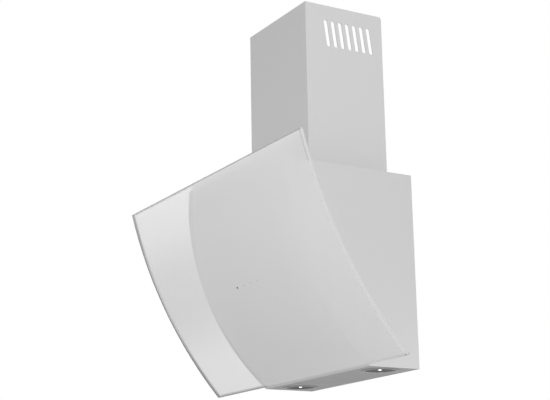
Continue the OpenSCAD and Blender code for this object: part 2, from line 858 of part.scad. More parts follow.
module motor_bracket() color("silver") {
    depth = scroll_back_gap + scroll_d + grommet_t + 2 * seam;
    difference() {
        union() {
            blower_place(0, 0, depth) cylinder(r = bracket_disc_r, h = bracket_t);
            for (a = arm_angles) blower_place(0, 0, depth) rotate(a)
                translate([0, -bracket_arm_w / 2, 0]) cube([arm_r, bracket_arm_w, bracket_t]);
            arm_places(arm_r, depth) cylinder(r = bracket_arm_w / 2, h = bracket_t);
        }
        blower_place(0, 0, depth - over) cylinder(r = shaft_r + 2 * seam, h = bracket_t + 2 * over);
        arm_places(arm_r, depth - over) cylinder(r = screw_hole_r, h = bracket_t + 2 * over);
    }
}

module motor_grommets() color("black") {
    arm_places(arm_r, scroll_back_gap + scroll_d + seam / 2) difference() {
        cylinder(r = grommet_r, h = grommet_t);
        translate([0, 0, -over]) cylinder(r = screw_hole_r, h = grommet_t + 2 * over);
    }
}

module blower_screws() color("gray") {
    boss_places(scroll_back_gap + scroll_d + seam) cylinder(r = screw_head_r, h = screw_head_h);
    boss_places(scroll_back_gap + scroll_d - screw_l + over + screw_head_h)
        cylinder(r = screw_r - seam, h = screw_l - over - screw_head_h + 2 * seam);
}

module bracket_screws() color("gray") {
    head = scroll_back_gap + scroll_d + grommet_t + 3 * seam + bracket_t;
    nut = scroll_back_gap + scroll_d - scroll_wall - seam - screw_head_h;
    arm_places(arm_r, head) cylinder(r = screw_head_r, h = screw_head_h);
    arm_places(arm_r, nut) cylinder(r = screw_r, h = head - nut + seam);
    arm_places(arm_r, nut) cylinder(r = screw_head_r, h = screw_head_h - seam, $fn = 6);
}

module capacitor() color("whitesmoke") {
    translate([box_x, -capacitor_y, capacitor_z - capacitor_l / 2]) cylinder(r = capacitor_r, h = capacitor_l);
}

module capacitor_clip() color("dimgray") {
    outer = capacitor_r + seam + clip_t;
    translate([box_x, -capacitor_y, capacitor_z - clip_l / 2]) difference() {
        union() {
            cylinder(r = outer, h = clip_l);
            translate([-outer / 2, 0, 0]) cube([outer, capacitor_y - back_t - seam, clip_l]);
        }
        translate([0, 0, -over]) cylinder(r = capacitor_r + seam, h = clip_l + 2 * over);
    }
}

// Outlet collar with its two flaps

module collar_screw_places(z) {
    r = collar_r - collar_flange;
    for (a = collar_screw_angles) translate([r * cos(a), r * sin(a) - collar_y, z]) children();
}

module outlet_collar() color("dimgray") {
    bore = collar_r - collar_wall;
    axis_z = collar_flange_t + flap_axis_h;
    translate([0, -collar_y, body_h]) difference() {
        union() {
            difference() {
                union() {
                    cylinder(r = collar_r + collar_flange, h = collar_flange_t);
                    cylinder(r = collar_r, h = collar_flange_t + collar_h);
                }
                translate([0, 0, collar_flange_t]) cylinder(r = bore, h = collar_h + over);
                translate([0, 0, -over]) cylinder(r = top_hole_r, h = collar_flange_t + 2 * over);
            }
            translate([0, 0, axis_z - flap_t / 2 - pad_gap - flap_stop_h]) difference() {
                cylinder(r = bore + collar_wall / 2, h = flap_stop_h);
                translate([0, 0, -over]) cylinder(r = bore - flap_stop, h = flap_stop_h + 2 * over);
                translate([-bore, -2 * flap_knuckle_r, -over])
                    cube([2 * bore, 4 * flap_knuckle_r, flap_stop_h + 2 * over]);
            }
        }
        translate([0, 0, axis_z]) rotate([0, 90, 0])
            cylinder(r = flap_pin_r + flap_run, h = 2 * (collar_r + over), center = true);
        for (a = collar_screw_angles) rotate(a) translate([collar_r - collar_flange, 0, -over])
            cylinder(r = screw_hole_r - seam, h = collar_flange_t + over - seam);
    }
}

module flap_pin() color("silver") {
    translate([0, -collar_y, body_h + collar_flange_t + flap_axis_h]) rotate([0, 90, 0])
        cylinder(r = flap_pin_r, h = 2 * (collar_r - seam) - collar_wall, center = true);
}

// One flap; way is -1 towards the front and 1 towards the wall
module flap(way) {
    r = collar_r - collar_wall - flap_clear;
    difference() {
        translate([0, -collar_y, body_h + collar_flange_t + flap_axis_h]) {
            difference() {
                cylinder(r = r, h = flap_t, center = true);
                translate([-r - over, way > 0 ? -r - over : -flap_root, -flap_t])
                    cube([2 * (r + over), r + over + flap_root, 2 * flap_t]);
            }
            for (side = [-1, 1], share = way > 0 ? rear_knuckle_shares : front_knuckle_shares)
                translate([side * (knuckle_l * share + flap_clear), 0, 0]) {
                    rotate([0, 90, 0]) cylinder(r = flap_knuckle_r, h = knuckle_l - flap_gap, center = true);
                    translate([0, way * flap_root / 2, 0])
                        centred([knuckle_l - flap_gap, flap_root + flap_t, flap_t]);
                }
        }
        translate([0, -collar_y, body_h + collar_flange_t + flap_axis_h]) rotate([0, 90, 0])
            cylinder(r = flap_pin_r + flap_run, h = 2 * collar_r, center = true);
    }
}

module flap_front() color("gray") { flap(-1); }
module flap_rear() color("gray") { flap(1); }

module collar_screws() color("gray") {
    collar_screw_places(body_h - sheet_t - seam - screw_head_h) cylinder(r = screw_head_r, h = screw_head_h);
    collar_screw_places(body_h - sheet_t - seam - seam)
        cylinder(r = screw_r - seam, h = sheet_t + 2 * seam + collar_flange_t / 2);
}

// Lamps

module lamp_place(side, z) {
    translate([side * lamp_x, -lamp_y, z]) children();
}

module lamp_bezel(side) color("gainsboro") {
    tube_r = lens_d / 2 + lamp_tube_t + seam;
    lamp_place(side, 0) difference() {
        union() {
            translate([0, 0, -lamp_rim_t - seam / 2]) cylinder(r = lamp_d / 2, h = lamp_rim_t);
            translate([0, 0, -lamp_rim_t]) cylinder(r = tube_r, h = lamp_rim_t + lamp_tube_h);
        }
        translate([0, 0, -over]) cylinder(r = lens_d / 2 - 2 * seam, h = lamp_tube_h + 2 * over);
        cylinder(r = lens_d / 2 + seam, h = lamp_tube_h + over);
    }
}

module lamp_lens(side) color("dimgray") {
    lamp_place(side, seam / 2) difference() {
        cylinder(r = lens_d / 2, h = lens_t);
        translate([0, 0, -over]) cylinder(r = emitter_r + seam, h = lens_t + 2 * over);
    }
}

module lamp_emitter(side) color("white") {
    lamp_place(side, lens_t / 2) {
        cylinder(r = emitter_r, h = emitter_h);
        translate([0, 0, lens_t / 2 + seam]) cylinder(r = 2 * emitter_r, h = emitter_h);
    }
}

module lamp_housing(side) color("silver") {
    base = lamp_tube_h + seam;
    plug_low = 1.5 * lens_t + 2 * seam + emitter_h - base;
    r = lens_d / 2 + lamp_tube_t + seam;
    lamp_place(side, base) difference() {
        union() {
            cylinder(r = r, h = sink_h);
            translate([0, 0, plug_low]) cylinder(r = lens_d / 2 - seam, h = base);
        }
        for (i = [0 : sink_fins - 1])
            translate([(i + 0.5 - sink_fins / 2) * 2 * r / sink_fins, 0, sink_h / 2 + sink_fin])
                centred([2 * r / sink_fins - sink_fin, 2 * r + over, sink_h]);
    }
}

module lamp_clips(side) color("silver") {
    r = lens_d / 2 + lamp_tube_t + 2 * seam;
    for (end = [-1, 1]) lamp_place(side, 0) {
        translate([end * (r + lamp_clip_t / 2 + seam), 0, sheet_t + seam + lamp_clip_l / 2])
            centred([lamp_clip_t, lamp_clip_w, lamp_clip_l]);
        translate([end * (r + seam + lamp_clip_t * 2), 0, sheet_t + seam + lamp_clip_t / 2])
            centred([lamp_clip_t * 4, lamp_clip_w, lamp_clip_t]);
    }
}

// Electrics

module control_box() color("dimgray") {
    translate([box_x - box_w / 2, -back_t - seam - box_d, box_low_z]) difference() {
        cube([box_w, box_d, box_h]);
        translate([box_wall, -over, box_wall])
            cube([box_w - 2 * box_wall, box_d + over - box_wall, box_h - 2 * box_wall]);
    }
    for (x = [-1, 1], z = [-1, 1]) board_place(x, z)
        cylinder(r = board_post_r, h = board_post);
}

module board_place(x, z) {
    along = x * (box_w / 2 - 2 * board_post);
    up = box_h / 2 + z * (box_h / 2 - 2 * board_post);
    translate([box_x + along, -back_t - seam - box_wall, box_low_z + up]) to_front() children();
}

module control_lid() color("slategray") {
    translate([box_x - box_w / 2, -back_t - 2 * seam - box_d - lid_t, box_low_z]) cube([box_w, lid_t, box_h]);
    translate([box_x - box_w / 2 + box_wall + seam, -back_t - 2 * seam - box_d, box_low_z + box_wall + seam])
        difference() {
            cube([box_w - 2 * (box_wall + seam), box_wall, box_h - 2 * (box_wall + seam)]);
            translate([box_wall, -over, box_wall])
                cube([box_w - 4 * box_wall - 2 * seam, box_wall + 2 * over, box_h - 4 * box_wall - 2 * seam]);
        }
}

module control_board() color("seagreen") {
    front = back_t + 2 * seam + box_wall + board_post + board_t;
    translate([box_x - box_w / 2 + 2 * box_wall, -front, box_low_z + 2 * box_wall])
        cube([box_w - 4 * box_wall, board_t, box_h - 4 * box_wall]);
}

module terminal_block() color("whitesmoke") {
    front = back_t + 3 * seam + box_wall + board_post + board_t + terminal_d;
    translate([box_x - terminal_w / 2, -front, box_low_z + box_h - terminal_h - 3 * box_wall]) difference() {
        cube([terminal_w, terminal_d, terminal_h]);
        for (i = [-1 : 1]) translate([terminal_w / 2 + i * terminal_w / 3, -over, terminal_h / 2])
            rotate([-90, 0, 0]) cylinder(r = screw_r, h = over + terminal_d / 2);
    }
}

module cable_gland() color("dimgray") {
    translate([gland_x, -gland_y, body_h]) difference() {
        union() {
            translate([0, 0, seam]) cylinder(r = gland_flange_r, h = gland_flange_t);
            translate([0, 0, seam]) cylinder(r = gland_r + sheet_t, h = gland_up);
            translate([0, 0, -gland_down]) cylinder(r = gland_r, h = gland_down + gland_flange_t);
            translate([0, 0, -sheet_t - seam - gland_flange_t])
                cylinder(r = gland_flange_r, h = gland_flange_t, $fn = 6);
        }
        translate([0, 0, -gland_down - over])
            cylinder(r = gland_bore_d / 2, h = gland_down + gland_up + 2 * over);
    }
}

back_plate();
body_shell();
front_plate();
filter_seat();
bottom_panel();
chimney_cover();
chimney_guide();
chimney_bracket();
glass_panel();
touch_marks();
touch_case();
touch_board();
glass_bracket(-1);  // glass_bracket_left
glass_bracket(1);  // glass_bracket_right
hinge_leaf(-1);  // hinge_leaf_left
hinge_leaf(1);  // hinge_leaf_right
hinge_pin(-1);  // hinge_pin_left
hinge_pin(1);  // hinge_pin_right
hinge_washers();
strike_plate(-1);  // strike_plate_left
strike_plate(1);  // strike_plate_right
mirror([1, 0, 0]) magnet_catch();  // magnet_catch_left
magnet_catch();  // magnet_catch_right
glass_bumpers();
filter_frame();
filter_mesh();
filter_latch();
scroll_tub();
scroll_cover();
impeller();
motor_shaft();
motor_can();
motor_bracket();
motor_grommets();
capacitor();
capacitor_clip();
outlet_collar();
flap_pin();
flap_front();
flap_rear();
lamp_bezel(-1);  // lamp_bezel_left
lamp_bezel(1);  // lamp_bezel_right
lamp_lens(-1);  // lamp_lens_left
lamp_lens(1);  // lamp_lens_right
lamp_emitter(-1);  // lamp_emitter_left
lamp_emitter(1);  // lamp_emitter_right
lamp_housing(-1);  // lamp_housing_left
lamp_housing(1);  // lamp_housing_right
lamp_clips(-1);  // lamp_clips_left
lamp_clips(1);  // lamp_clips_right
control_box();
control_lid();
control_board();
terminal_block();
cable_gland();
hinge_screws();
blower_screws();
bracket_screws();
collar_screws();
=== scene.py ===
# Curved glass range hood: finishes, fine detail, soft studio light and the photograph's camera.
import bpy
import bmesh
import json
import math
from mathutils import Matrix
from mathutils import Vector


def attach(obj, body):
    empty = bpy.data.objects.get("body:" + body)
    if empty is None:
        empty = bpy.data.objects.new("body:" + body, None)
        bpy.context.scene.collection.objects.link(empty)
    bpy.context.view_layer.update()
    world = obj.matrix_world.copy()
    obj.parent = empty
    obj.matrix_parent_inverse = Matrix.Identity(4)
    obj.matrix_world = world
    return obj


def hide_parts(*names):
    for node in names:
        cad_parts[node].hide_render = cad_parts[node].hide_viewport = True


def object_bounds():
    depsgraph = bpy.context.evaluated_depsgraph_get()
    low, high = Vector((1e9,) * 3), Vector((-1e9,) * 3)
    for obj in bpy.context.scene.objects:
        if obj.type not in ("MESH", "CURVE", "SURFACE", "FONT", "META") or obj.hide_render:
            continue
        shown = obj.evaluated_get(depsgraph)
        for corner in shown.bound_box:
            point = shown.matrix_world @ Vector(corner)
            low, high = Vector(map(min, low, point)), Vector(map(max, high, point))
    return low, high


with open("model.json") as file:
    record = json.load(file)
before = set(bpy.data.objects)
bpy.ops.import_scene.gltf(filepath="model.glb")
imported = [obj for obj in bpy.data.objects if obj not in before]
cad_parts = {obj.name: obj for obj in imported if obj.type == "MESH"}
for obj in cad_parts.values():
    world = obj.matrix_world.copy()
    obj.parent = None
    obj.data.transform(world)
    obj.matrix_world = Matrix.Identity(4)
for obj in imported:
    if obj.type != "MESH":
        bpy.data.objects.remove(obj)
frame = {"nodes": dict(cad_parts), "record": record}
CAD_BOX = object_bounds()
NODES = frame["nodes"]
MM = 0.001

# Camera, as fitted to the photograph's straight edges
IMAGE_W = 550
CAMERA_PLACE = Vector((1.9328, -1.3175, -0.2885))
CAMERA_YAW = math.radians(59.29)
CAMERA_PITCH = math.radians(14.745)
CAMERA_ROLL = math.radians(1.05)
FOCAL_PIXELS = 1350.3
SENSOR_MM = 36.0
CLIP_END = 50.0

# Surroundings, in metres: the floor fades to white between the two distances
FLOOR_DROP = 1.9
FLOOR_SIZE = 60.0
FLOOR_SEGMENTS = 8
FLOOR_SHADE = 0.6
FLOOR_ROUGH = 0.8
FLOOR_WHITE_SHARE = 0.6
FLOOR_FADE = (3.0, 9.0)
WORLD_DIFFUSE = 0.48
WORLD_SEEN = 1.0

# Range in which most values of a noise texture lie
NOISE_LOW = 0.3
NOISE_HIGH = 0.7

# Glass front, in millimetres, as the CAD model has it
GLASS_W = 600.0
GLASS_T = 6.0
GLASS_R = 796.724
GLASS_CENTRE = (468.45, 531.919)
GLASS_TOP_A = math.radians(14.7545)
GLASS_BOTTOM_A = math.radians(42.1809)
GLASS_ROUND = 0.9
GLASS_SIDE_BORDER = 5.0
GLASS_END_BORDER = 2.6
GLASS_WALL_INSET = 0.35
GLASS_ROWS = 56

# Inset and depth of three rings round the eased edge, as shares of its radius
EASED_RINGS = ((1.0, 0.0), (0.3, 0.3), (0.0, 1.0))

# Polish of the glass
GLASS_ROUGH = (0.15, 0.19)
GLASS_IOR = 1.5
BOTTOM_ROUGH = 0.2

# Tint of the clear part with a painted shade band across it: densest height and range over which it thins
# out, in metres, then its alphas
SHADE_BAND_HEIGHT = 0.17
SHADE_BAND_REACH = (0.02, 0.13)
TINT_AND_SHADE_BAND_ALPHA = (0.86, 0.58)
COAT_ALPHA = 0.97

# Left and right edges of the glass's dense coat: millimetres for an angle in degrees, highest power first
COAT_LEFT = (0.243, -16.164, 125.0)
COAT_RIGHT = (0.2048, -13.621, 396.0)
COAT_FADE = 11.0
COAT_RIGHT_FADE = 50.0
COAT_PAST_RIGHT = 0.6

# Greys of the glass's parts
CLEAR_SHADE = 0.75
COAT_SHADE = 0.72
# The edge grey, also used for the end borders, is painted shade that draws the glass's dark edge line; the
# coated edge grey is paler, where the body lies behind
EDGE_SHADE = 0.46
COATED_EDGE = 0.68
BORDER_SHADE = 0.8
# Grey of a dark sheet just inside the edge, painted shade for the glass's dark edge line
PAINTED_SHADE_WALL_GREY = 0.1

# How much of the light each part of the glass stops
SIDE_BORDER_ALPHA = 0.3
END_BORDER_ALPHA = 0.75
BACK_ALPHA = 0.08

# Places of the finishes in the glass's list of materials, where the front has place 0
EDGE = 1
SIDE_BORDER = 2
PAINTED_SHADE_WALL = 3
BACK = 4
END_BORDER = 5
BOTTOM_EDGE = 6
BOTTOM_BORDER = 7

# Finishes from the front face round the edge to the back face, and what takes their place at top and bottom
RIM_FINISHES = [SIDE_BORDER, SIDE_BORDER, EDGE, EDGE, EDGE, SIDE_BORDER, SIDE_BORDER]
TOP_FINISH = {EDGE: EDGE, SIDE_BORDER: END_BORDER}
BOTTOM_FINISH = {EDGE: BOTTOM_EDGE, SIDE_BORDER: BOTTOM_BORDER}

# Touch marks: greys of the first mark and of the others, and the X range in metres between them
FIRST_MARK = 0.05
OTHER_MARKS = 0.45
MARK_SPLIT = (-0.022, -0.018)

# Lamps of the hood: distance from the centre line and from the wall, in millimetres
LAMP_X = 124.0
LAMP_Y = -50.0
LENS_RIBS = 9
LAMP_STEPS = 72
DOME_STEPS = 40
ON_AXIS = 0.001

# Filter in its tilted frame, in millimetres
FILTER_TILT = math.radians(28.8672)
FILTER_CENTRE = (157.89, 321.0)
FILTER_DEPTH = 381.4
FILTER_W = 217.6
FILTER_H = 217.6
FILTER_COLUMNS = 32
FILTER_ROWS = 52
FILTER_LAYERS = (-2.1, 0.0, 2.1)
STRAND_W = 0.9
STRAND_T = 0.5
STRAND_LIFT = 0.55


# Camera

def camera_matrix():
    """Place and turn of the camera, with its picture rolled about the line of sight."""
    forward = Vector((
        -math.sin(CAMERA_YAW) * math.cos(CAMERA_PITCH),
        math.cos(CAMERA_YAW) * math.cos(CAMERA_PITCH),
        math.sin(CAMERA_PITCH),
    ))
    right = Vector((math.cos(CAMERA_YAW), math.sin(CAMERA_YAW), 0.0))
    down = forward.cross(right)
    side = right * math.cos(CAMERA_ROLL) + down * math.sin(CAMERA_ROLL)
    low = down * math.cos(CAMERA_ROLL) - right * math.sin(CAMERA_ROLL)
    turn = Matrix((side, -low, -forward)).transposed().to_4x4()
    return Matrix.Translation(CAMERA_PLACE) @ turn


def make_camera():
    """The photograph's camera."""
    data = bpy.data.cameras.new("camera")
    data.sensor_width = SENSOR_MM
    data.sensor_fit = "HORIZONTAL"
    data.lens = FOCAL_PIXELS / IMAGE_W * SENSOR_MM
    data.clip_end = CLIP_END
    camera = bpy.data.objects.new("camera", data)
    camera.matrix_world = camera_matrix()
    bpy.context.scene.collection.objects.link(camera)
    bpy.context.scene.camera = camera


# Helpers for node materials

def new_material(name):
    """A material with one shader, returned with its nodes and links."""
    material = bpy.data.materials.new(name)
    material.use_nodes = True
    nodes = material.node_tree.nodes
    nodes.clear()
    output = nodes.new("ShaderNodeOutputMaterial")
    shader = nodes.new("ShaderNodeBsdfPrincipled")
    material.node_tree.links.new(shader.outputs["BSDF"], output.inputs["Surface"])
    return material, nodes, material.node_tree.links, shader


def feed(links, socket, value):
    """Puts a number or colour on a socket, or links another node's output to it."""
    if isinstance(value, bpy.types.NodeSocket):
        links.new(value, socket)
    else:
        socket.default_value = value


def object_points(nodes, links, stretch=(1.0, 1.0, 1.0)):
    """Object coordinates in metres, multiplied along each axis."""
    place = nodes.new("ShaderNodeTexCoord")
    mapping = nodes.new("ShaderNodeMapping")
    mapping.inputs["Scale"].default_value = stretch
    links.new(place.outputs["Object"], mapping.inputs["Vector"])
    return mapping.outputs["Vector"]


def along_axis(nodes, links, points, axis):
    """One of the three coordinates of points."""
    axes = nodes.new("ShaderNodeSeparateXYZ")
    links.new(points, axes.inputs["Vector"])
    return axes.outputs[axis]


def noise(nodes, links, points, scale, detail=3.0, roughness=0.55):
    """Soft random values, scale times to the metre where points aren't stretched."""
    texture = nodes.new("ShaderNodeTexNoise")
    texture.inputs["Scale"].default_value = scale
    texture.inputs["Detail"].default_value = detail
    texture.inputs["Roughness"].default_value = roughness
    links.new(points, texture.inputs["Vector"])
    return texture.outputs["Fac"]


def remap(nodes, links, value, low, high, from_low=NOISE_LOW, from_high=NOISE_HIGH):
    """A value that runs from low to high while the given one runs over its own range."""
    node = nodes.new("ShaderNodeMapRange")
    node.inputs["From Min"].default_value = from_low
    node.inputs["From Max"].default_value = from_high
    node.inputs["To Min"].default_value = low
    node.inputs["To Max"].default_value = high
    links.new(value, node.inputs["Value"])
    return node.outputs["Result"]


def calculate(nodes, links, operation, *values):
    """The result of a math node on numbers or outputs of other nodes."""
    node = nodes.new("ShaderNodeMath")
    node.operation = operation
    for socket, value in zip(node.inputs, values):
        feed(links, socket, value)
    return node.outputs["Value"]


def blend_colours(nodes, links, amount, one, other, blend="MIX"):
    """The first colour where amount is 0 and its blend with the other where amount is 1."""
    node = nodes.new("ShaderNodeMix")
    node.data_type = "RGBA"
    node.blend_type = blend
    feed(links, node.inputs["Factor"], amount)
    feed(links, node.inputs["A"], one)
    feed(links, node.inputs["B"], other)
    return node.outputs["Result"]


def bump(nodes, links, shader, value, distance):
    """Relief of the surface by value, distance metres high."""
    node = nodes.new("ShaderNodeBump")
    node.inputs["Distance"].default_value = distance
    links.new(value, node.inputs["Height"])
    links.new(node.outputs["Normal"], shader.inputs["Normal"])


def seen_directly(nodes, links):
    """1 for what the camera sees directly, in a reflection or through glass."""
    path = nodes.new("ShaderNodeLightPath")
    first = calculate(nodes, links, "MAXIMUM", path.outputs["Is Camera Ray"], path.outputs["Is Glossy Ray"])
    return calculate(nodes, links, "MAXIMUM", first, path.outputs["Is Transmission Ray"])


def grey(value):
    """An opaque grey of one value."""
    return (value, value, value, 1.0)


# Finishes

def brushed(name, shade, metallic=0.5, rough=0.4, grain=(18.0, 18.0, 1400.0), depth=0.000004):
    """Satin metal with fine brush lines that run square to the largest stretch."""
    material, nodes, links, shader = new_material(name)
    lines = noise(nodes, links, object_points(nodes, links, grain), 1.0, detail=5.0, roughness=0.65)
    cloud = noise(nodes, links, object_points(nodes, links), 5.0, detail=2.0)
    dark_line = grey(shade * 0.965)
    light_line = grey(shade * 1.03)
    lined = blend_colours(nodes, links, lines, dark_line, light_line)
    tone = blend_colours(nodes, links, cloud, grey(0.985), grey(1.0))
    clouded = blend_colours(nodes, links, 0.5, lined, tone, "MULTIPLY")
    links.new(clouded, shader.inputs["Base Color"])
    shader.inputs["Metallic"].default_value = metallic
    shader.inputs["Specular Tint"].default_value = grey(0.55)
    links.new(remap(nodes, links, lines, rough - 0.05, rough + 0.06), shader.inputs["Roughness"])
    bump(nodes, links, shader, lines, depth)
    return material


def moulded(name, shade, rough=0.5, specular=0.4, tint=(1.0, 1.0, 1.0)):
    """Moulded plastic or rubber with a fine spark-eroded grain."""
    material, nodes, links, shader = new_material(name)
    fine = noise(nodes, links, object_points(nodes, links), 900.0, detail=2.0)
    broad = noise(nodes, links, object_points(nodes, links), 14.0, detail=3.0)
    dark = (*(shade * 0.92 * part for part in tint), 1.0)
    light = (*(shade * 1.08 * part for part in tint), 1.0)
    links.new(blend_colours(nodes, links, broad, dark, light), shader.inputs["Base Color"])
    shader.inputs["Specular IOR Level"].default_value = specular
    links.new(remap(nodes, links, fine, rough - 0.06, rough + 0.08), shader.inputs["Roughness"])
    bump(nodes, links, shader, fine, 0.00003)
    return material


def galvanised(name, shade):
    """Zinc-plated sheet with faint crystal patches."""
    material, nodes, links, shader = new_material(name)
    cells = nodes.new("ShaderNodeTexVoronoi")
    cells.inputs["Scale"].default_value = 120.0
    links.new(object_points(nodes, links), cells.inputs["Vector"])
    patch = nodes.new("ShaderNodeSeparateColor")
    links.new(cells.outputs["Color"], patch.inputs["Color"])
    value = patch.outputs["Red"]
    dark_patch = grey(shade * 0.93)
    light_patch = grey(shade * 1.05)
    links.new(blend_colours(nodes, links, value, dark_patch, light_patch), shader.inputs["Base Color"])
    shader.inputs["Metallic"].default_value = 0.75
    links.new(remap(nodes, links, value, 0.34, 0.5, 0.0, 1.0), shader.inputs["Roughness"])
    fine = noise(nodes, links, object_points(nodes, links), 500.0)
    bump(nodes, links, shader, fine, 0.00001)
    return material


def printed(name):
    """Printed touch marks: the first is dark, the others are pale grey."""
    material, nodes, links, shader = new_material(name)
    points = object_points(nodes, links)
    later = remap(nodes, links, along_axis(nodes, links, points, "X"), 0.0, 1.0, *MARK_SPLIT)
    colour = blend_colours(nodes, links, later, grey(FIRST_MARK), grey(OTHER_MARKS))
    links.new(colour, shader.inputs["Base Color"])
    fine = noise(nodes, links, points, 2500.0, detail=1.0)
    links.new(remap(nodes, links, fine, 0.35, 0.5), shader.inputs["Roughness"])
    bump(nodes, links, shader, fine, 0.00001)
    return material


def led_material(name):
    """Lit milky dome of a small lamp."""
    material, nodes, links, shader = new_material(name)
    cloud = noise(nodes, links, object_points(nodes, links), 400.0, detail=2.0)
    links.new(blend_colours(nodes, links, cloud, grey(0.9), grey(0.98)), shader.inputs["Base Color"])
    shader.inputs["Roughness"].default_value = 0.25
    shader.inputs["Emission Color"].default_value = (1.0, 1.0, 1.0, 1.0)
    shader.inputs["Emission Strength"].default_value = 1.6
    return material


def silver_tone(nodes, links, points, shade):
    """Grey of clear glass, with a broad faint wave."""
    wave = noise(nodes, links, points, 3.0, detail=1.0)
    return blend_colours(nodes, links, wave, grey(shade), grey(shade * 1.02))


def polish(nodes, links, shader, points):
    """Gloss and refraction of glass."""
    fine = noise(nodes, links, points, 60.0, detail=2.0)
    links.new(remap(nodes, links, fine, *GLASS_ROUGH), shader.inputs["Roughness"])
    shader.inputs["IOR"].default_value = GLASS_IOR


def glass_material(name, shade, alpha):
    """Silver glass in one grey, pale for the borders and back and dark where it draws painted shade at the
    edges, with what lies behind showing through as far as alpha lets it.
    """
    material, nodes, links, shader = new_material(name)
    points = object_points(nodes, links)
    links.new(silver_tone(nodes, links, points, shade), shader.inputs["Base Color"])
    shader.inputs["Alpha"].default_value = alpha
    polish(nodes, links, shader, points)
    return material


def bottom_material(name, alpha):
    """Glass's bottom edge, painted shade of the edge line: grey where the glass is clear, pale and dense
    from the coat's left edge on.
    """
    material, nodes, links, shader = new_material(name)
    along = along_axis(nodes, links, object_points(nodes, links), "X")
    start = coat_line(COAT_LEFT, GLASS_BOTTOM_A) * MM
    amount = remap(nodes, links, along, 0.0, 1.0, start, start + COAT_FADE * MM)
    colour = blend_colours(nodes, links, amount, grey(EDGE_SHADE), grey(COATED_EDGE))
    links.new(colour, shader.inputs["Base Color"])
    links.new(remap(nodes, links, amount, alpha, COAT_ALPHA, 0.0, 1.0), shader.inputs["Alpha"])
    shader.inputs["Roughness"].default_value = BOTTOM_ROUGH
    return material


def coated_glass(name):
    """The glass front: a dense coat where the mesh's coat value is 1, and tinted clear glass where it is 0.

    The tint is denser at half height and thins out towards the top and bottom, which paints a band of shade
    across the clear glass.
    """
    material, nodes, links, shader = new_material(name)
    points = object_points(nodes, links)
    coat = nodes.new("ShaderNodeAttribute")
    coat.attribute_name = "coat"
    amount = coat.outputs["Fac"]
    clear_colour = silver_tone(nodes, links, points, CLEAR_SHADE)
    colour = blend_colours(nodes, links, amount, clear_colour, grey(COAT_SHADE))
    links.new(colour, shader.inputs["Base Color"])
    # Painted shade: the clear glass's alpha rises towards half height, so it looks darker there
    away = calculate(nodes, links, "SUBTRACT", along_axis(nodes, links, points, "Z"), SHADE_BAND_HEIGHT)
    distance = calculate(nodes, links, "ABSOLUTE", away)
    tint = remap(nodes, links, distance, *TINT_AND_SHADE_BAND_ALPHA, *SHADE_BAND_REACH)
    tint.node.interpolation_type = "SMOOTHSTEP"
    alpha = nodes.new("ShaderNodeMix")
    alpha.inputs["B"].default_value = COAT_ALPHA
    links.new(tint, alpha.inputs["A"])
    links.new(amount, alpha.inputs["Factor"])
    links.new(alpha.outputs["Result"], shader.inputs["Alpha"])
    polish(nodes, links, shader, points)
    return material


# Meshes

def link_object(name, mesh, materials, smooth=True):
    """An object in the scene with a mesh and its materials."""
    piece = bpy.data.objects.new(name, mesh)
    bpy.context.scene.collection.objects.link(piece)
    for material in materials:
        mesh.materials.append(material)
    for face in mesh.polygons:
        face.use_smooth = smooth
    return piece


def finished_mesh(name, shape):
    """The mesh of a shape, which is freed."""
    mesh = bpy.data.meshes.new(name)
    shape.to_mesh(mesh)
    shape.free()
    return mesh


# Glass front

def coat_line(edge, angle):
    """X of one edge of the dense coat, in millimetres, at an angle down the glass."""
    turn = math.degrees(angle)
    return edge[0] * turn * turn + edge[1] * turn + edge[2]


def glass_point(x, angle, depth):
    """A point depth millimetres behind the glass's front face, in metres."""
    radius = GLASS_R - depth
    y = GLASS_CENTRE[0] - radius * math.cos(angle)
    z = GLASS_CENTRE[1] - radius * math.sin(angle)
    return Vector((x, y, z)) * MM


def glass_loop(shape, side_inset, end_inset, depth):
    """Left and right points from top to bottom, inset from the glass's sides and ends, at a depth."""
    half = GLASS_W / 2 - side_inset
    low = GLASS_TOP_A + end_inset / GLASS_R
    high = GLASS_BOTTOM_A - end_inset / GLASS_R
    angles = [low + (high - low) * i / GLASS_ROWS for i in range(GLASS_ROWS + 1)]
    left = [shape.verts.new(glass_point(-half, a, depth)) for a in angles]
    right = [shape.verts.new(glass_point(half, a, depth)) for a in angles]
    return left, right


def closed_ring(loop):
    """A loop's points in order: down its left side and up its right side."""
    left, right = loop
    return left + right[::-1]


def rim_rings():
    """Side inset, end inset and depth of each ring from the front face round the edge to the back face."""
    rings = [(GLASS_SIDE_BORDER, GLASS_END_BORDER, 0.0)]
    for inset, depth in EASED_RINGS:
        rings.append((GLASS_ROUND * inset, GLASS_ROUND * inset, GLASS_ROUND * depth))
    return rings + [(side, end, GLASS_T - depth) for side, end, depth in reversed(rings)]


def add_front_face(shape, left, right):
    """The front face in strips, with the dense coat over the hood's body fading out on both sides."""
    coat = shape.verts.layers.float["coat"]
    lines = [left]
    for edge, shift, amount in (
        (COAT_LEFT, 0.0, 0.0),
        (COAT_LEFT, COAT_FADE, 1.0),
        (COAT_RIGHT, 0.0, 1.0),
        (COAT_RIGHT, COAT_RIGHT_FADE, COAT_PAST_RIGHT),
    ):
        line = []
        for i in range(GLASS_ROWS + 1):
            x = coat_line(edge, GLASS_TOP_A + (GLASS_BOTTOM_A - GLASS_TOP_A) * i / GLASS_ROWS) + shift
            share = (x * MM - left[i].co.x) / (right[i].co.x - left[i].co.x)
            point = shape.verts.new(left[i].co.lerp(right[i].co, share))
            point[coat] = amount
            line.append(point)
        lines.append(line)
    for point in right:
        point[coat] = COAT_PAST_RIGHT
    lines.append(right)
    for one, other in zip(lines, lines[1:]):
        for i in range(GLASS_ROWS):
            shape.faces.new([one[i], one[i + 1], other[i + 1], other[i]])


def add_back_face(shape, left, right):
    """The back face, in one strip."""
    for i in range(GLASS_ROWS):
        face = shape.faces.new([left[i], left[i + 1], right[i + 1], right[i]])
        face.material_index = BACK


